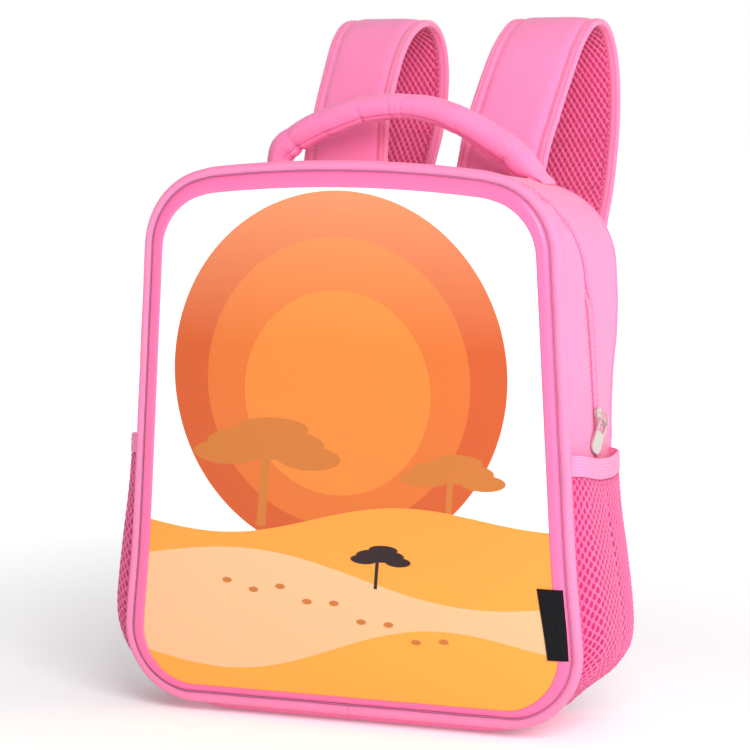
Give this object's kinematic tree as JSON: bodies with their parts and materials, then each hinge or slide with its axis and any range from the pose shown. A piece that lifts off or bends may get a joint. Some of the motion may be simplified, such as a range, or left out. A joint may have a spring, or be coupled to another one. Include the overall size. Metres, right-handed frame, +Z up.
{
  "type": "kids backpack",
  "caption": "Small child's backpack with a moulded front panel, piped seam, wrap-round zip with a hinged pull, mesh side pockets, a rolled carry handle and padded shoulder straps.",
  "frame": {"origin": "centre of the part's bounding box in plan, at the floor that the base rests on", "axes": "+Z up, -Y out of the moulded front panel, +X towards the side with the label, the right as seen from the front"},
  "size_m": [0.3116, 0.2172, 0.4019],
  "materials": {
    "pink_fabric": "woven polyester, matte",
    "pink_piping": "bound piping, satin",
    "pink_mesh": "air mesh and pocket net",
    "pink_webbing": "ribbed webbing and zip tape",
    "pink_plastic": "moulded adjuster, satin",
    "print_panel": "moulded foam with a satin printed skin",
    "black_label": "woven label, blank",
    "zip_metal": "satin nickel"
  },
  "bodies": {
    "bag": {"front_panel": "print_panel", "front_piping": "pink_piping", "front_gusset": "pink_fabric", "back_gusset": "pink_fabric", "zipper": "pink_webbing", "base_gusset": "pink_fabric", "back_panel": "pink_mesh", "side_pocket_left": "pink_mesh", "side_pocket_right": "pink_mesh", "pocket_band_left": "pink_webbing", "pocket_band_right": "pink_webbing", "carry_handle": "pink_fabric", "strap_left": "pink_fabric", "strap_right": "pink_fabric", "strap_buckle_left": "pink_plastic", "strap_buckle_right": "pink_plastic", "strap_webbing_left": "pink_webbing", "strap_webbing_right": "pink_webbing", "zip_slider": "zip_metal", "side_label": "black_label"},
    "zip_pull": {"zip_pull": "zip_metal"}
  },
  "joints": [
    {"name": "pull_hinge", "type": "hinge", "parent": "bag", "child": "zip_pull", "pos_m": [0.1382, -0.05464, 0.17552], "axis": [-0.1529, -0.8512, 0.5021], "range_deg": [0, 150]}
  ]
}
